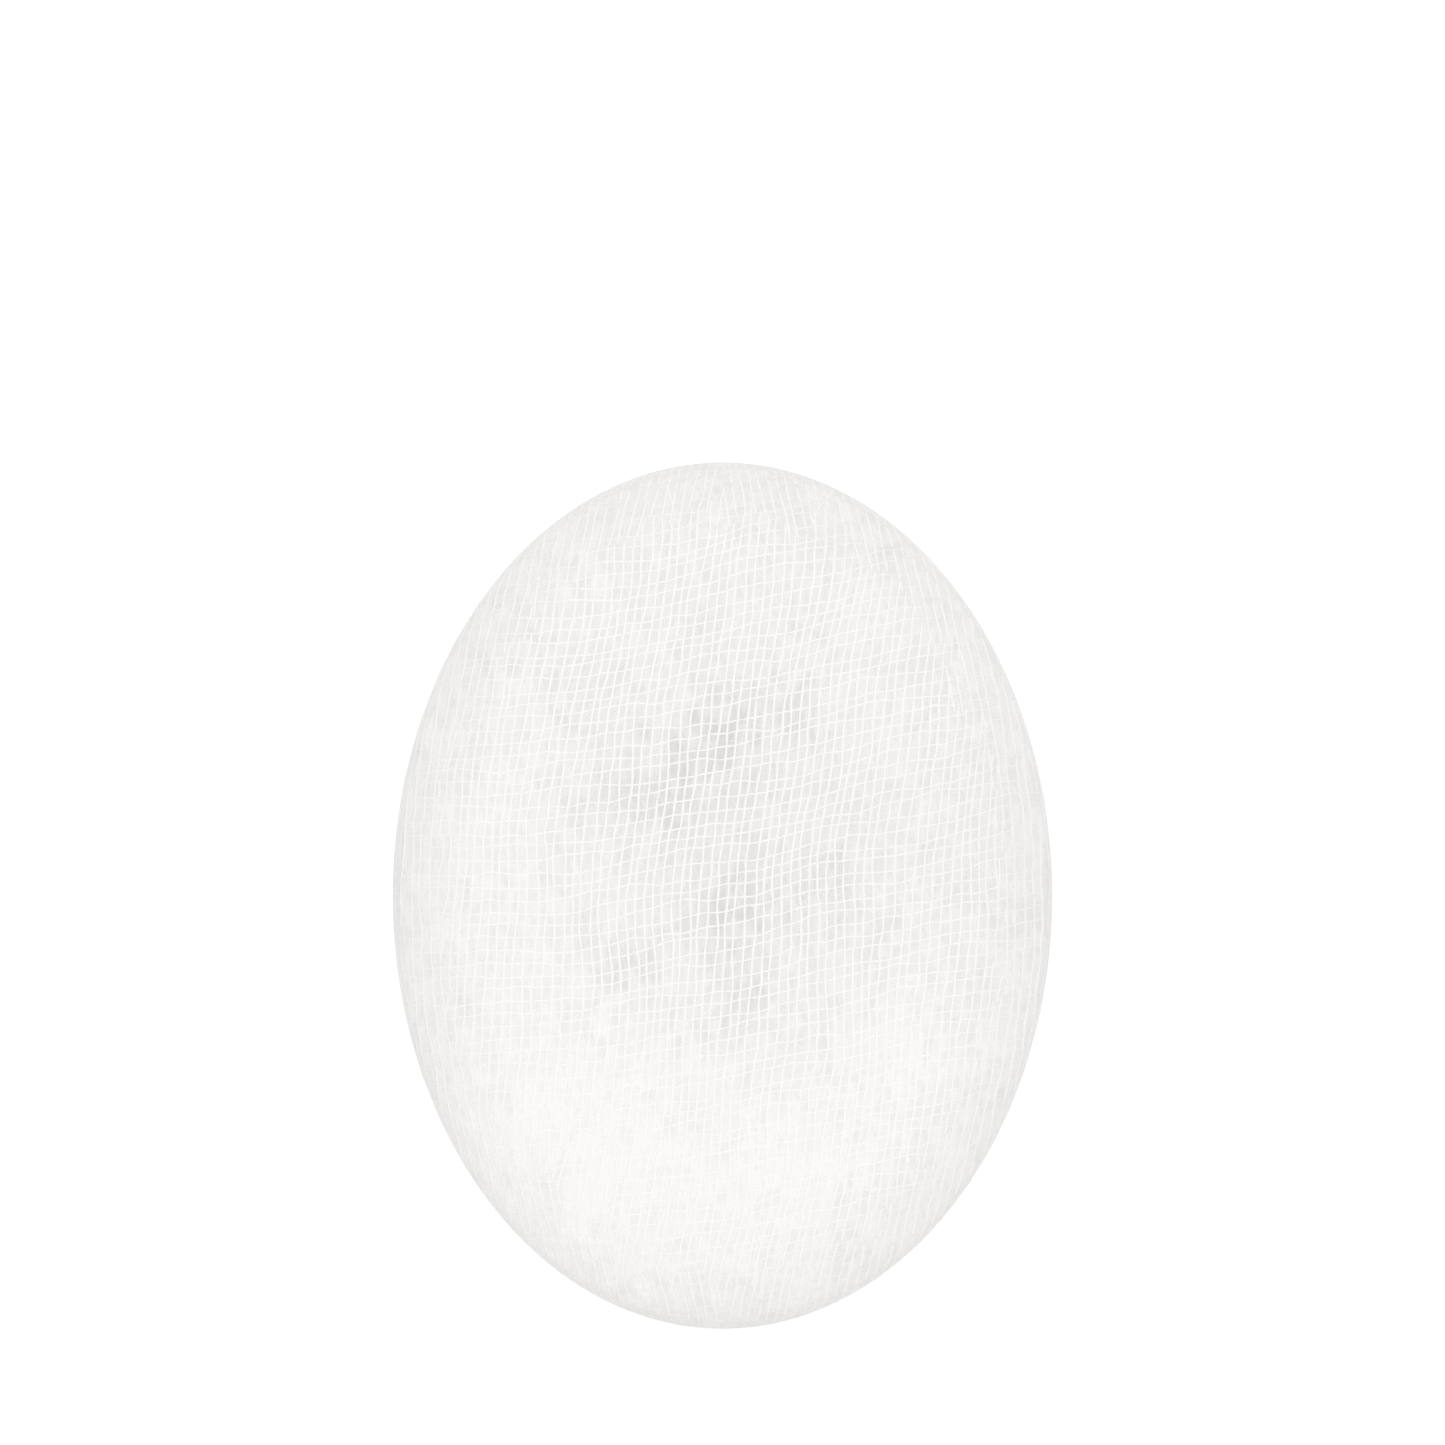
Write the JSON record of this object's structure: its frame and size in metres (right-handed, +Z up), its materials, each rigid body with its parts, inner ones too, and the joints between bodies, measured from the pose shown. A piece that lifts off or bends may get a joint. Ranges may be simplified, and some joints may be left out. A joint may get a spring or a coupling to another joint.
{
  "type": "eye pad",
  "caption": "Soft oval eye pad: cotton wool between two faces of open woven gauze, with a round edge, lying flat.",
  "frame": {"origin": "middle of the resting face under the pad", "axes": "+Z up through the front face, +Y along the pad's length, +X across its width"},
  "size_m": [0.051, 0.067, 0.0075],
  "materials": {
    "gauze": "matt open weave of bleached cotton thread",
    "cotton_wool": "matt loose bleached fibre"
  },
  "bodies": {
    "root": {"front_gauze": "gauze", "cotton_wool": "cotton_wool", "back_gauze": "gauze"}
  },
  "joints": []
}
